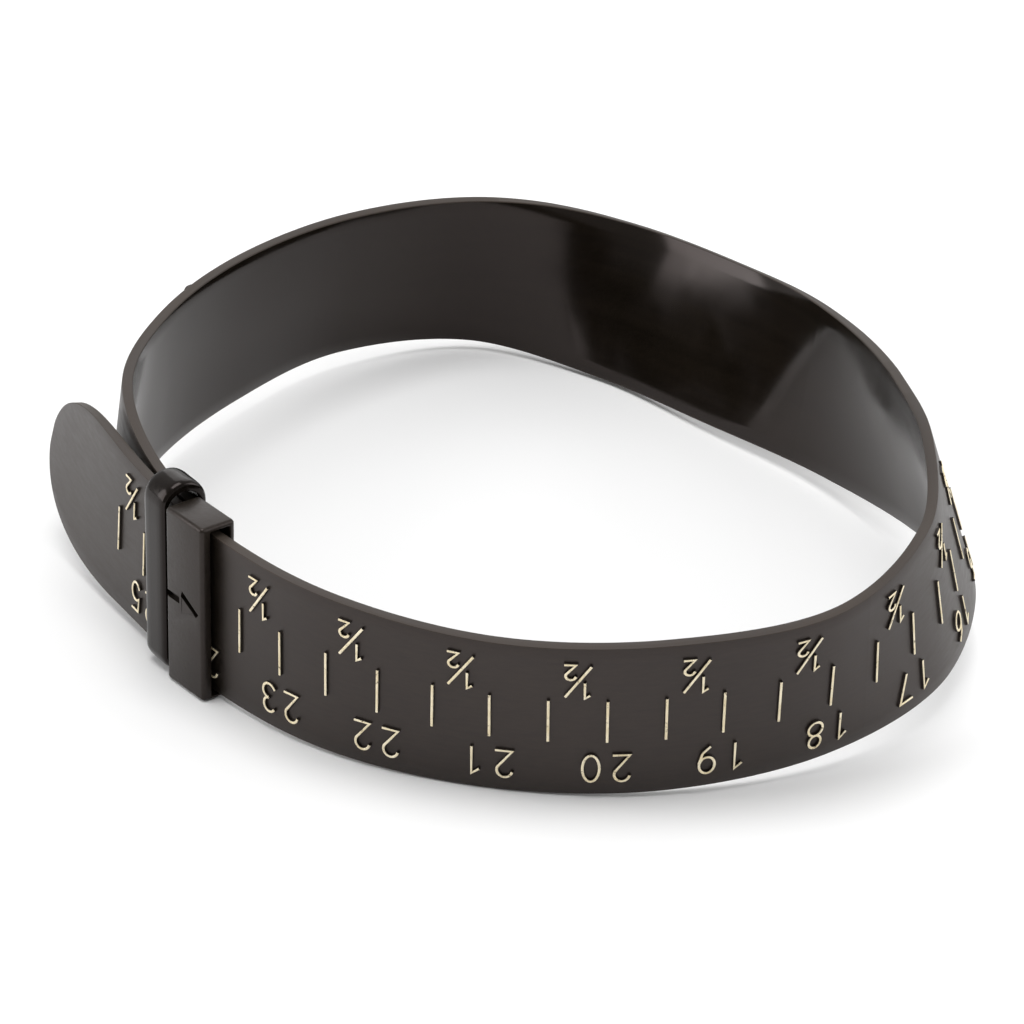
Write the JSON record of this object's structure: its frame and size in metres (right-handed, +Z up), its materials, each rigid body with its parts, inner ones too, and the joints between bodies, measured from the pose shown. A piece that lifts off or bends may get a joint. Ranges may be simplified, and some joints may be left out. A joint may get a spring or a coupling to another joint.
{
  "type": "adjustable wrist sizing strap",
  "caption": "Flexible plastic strap closed into a loop through a box buckle and a keeper, with a raised centimetre scale, for measuring wrist and bangle size.",
  "frame": {"origin": "middle of the part's footprint, on the surface that the loop stands on", "axes": "+Z up, across the strap's width; +Y from the front of the loop to its back, the longest way across; +X to the right with the buckle at the front left"},
  "size_m": [0.0858, 0.087, 0.0206],
  "materials": {
    "strap_plastic": "satin black moulded plastic, finely brushed outside and glossier inside",
    "buckle_plastic": "satin black moulded plastic with worn corners",
    "keeper_plastic": "polished black plastic",
    "scale_gold": "pale gold foil on the tops of the raised marks"
  },
  "bodies": {
    "buckle_end": {"buckle_housing": "buckle_plastic", "strap_fixed_end": "strap_plastic"},
    "keeper": {"keeper_loop": "keeper_plastic"},
    "span_1": {"strap_span_1": "strap_plastic"},
    "span_2": {"strap_span_2": "strap_plastic"},
    "span_3": {"strap_span_3": "strap_plastic"},
    "span_4": {"strap_span_4": "strap_plastic"},
    "span_5": {"strap_span_5": "strap_plastic"},
    "tongue": {"strap_tongue": "strap_plastic"}
  },
  "joints": [
    {"name": "size_adjust", "type": "hinge", "parent": "buckle_end", "child": "span_1", "pos_m": [-0.01238, 0.03939, 0.00979], "axis": [-0.0339, 0.0399, -0.9986], "range_deg": [-1, 0.9]},
    {"name": "strap_flex_2", "type": "hinge", "parent": "span_1", "child": "span_2", "pos_m": [0.00657, 0.04091, 0.00811], "axis": [-0.0339, 0.0399, -0.9986], "range_deg": [-1, 0.9]},
    {"name": "strap_flex_3", "type": "hinge", "parent": "span_2", "child": "span_3", "pos_m": [0.0222, 0.0288, 0.00823], "axis": [-0.0339, 0.0399, -0.9986], "range_deg": [-1, 0.9]},
    {"name": "strap_flex_4", "type": "hinge", "parent": "span_3", "child": "span_4", "pos_m": [0.0333, 0.01236, 0.01021], "axis": [-0.0339, 0.0399, -0.9986], "range_deg": [-1, 0.9]},
    {"name": "strap_flex_5", "type": "hinge", "parent": "span_4", "child": "span_5", "pos_m": [0.03947, -0.00641, 0.01269], "axis": [-0.0339, 0.0399, -0.9986], "range_deg": [-1, 0.9]},
    {"name": "strap_flex_6", "type": "hinge", "parent": "span_5", "child": "tongue", "pos_m": [0.03735, -0.02595, 0.01155], "axis": [-0.0339, 0.0399, -0.9986], "range_deg": [-1, 0.9]},
    {"name": "keeper_slide", "type": "hinge", "parent": "buckle_end", "child": "keeper", "pos_m": [0.02108, 0.01486, 0.01009], "axis": [-0.0339, 0.0399, -0.9986], "range_deg": [0, 4]}
  ],
  "couplings": [
    {"joint": "strap_flex_2", "follows": "size_adjust", "ratio": 1},
    {"joint": "strap_flex_3", "follows": "size_adjust", "ratio": 1},
    {"joint": "strap_flex_4", "follows": "size_adjust", "ratio": 1},
    {"joint": "strap_flex_5", "follows": "size_adjust", "ratio": 1},
    {"joint": "strap_flex_6", "follows": "size_adjust", "ratio": 1}
  ]
}
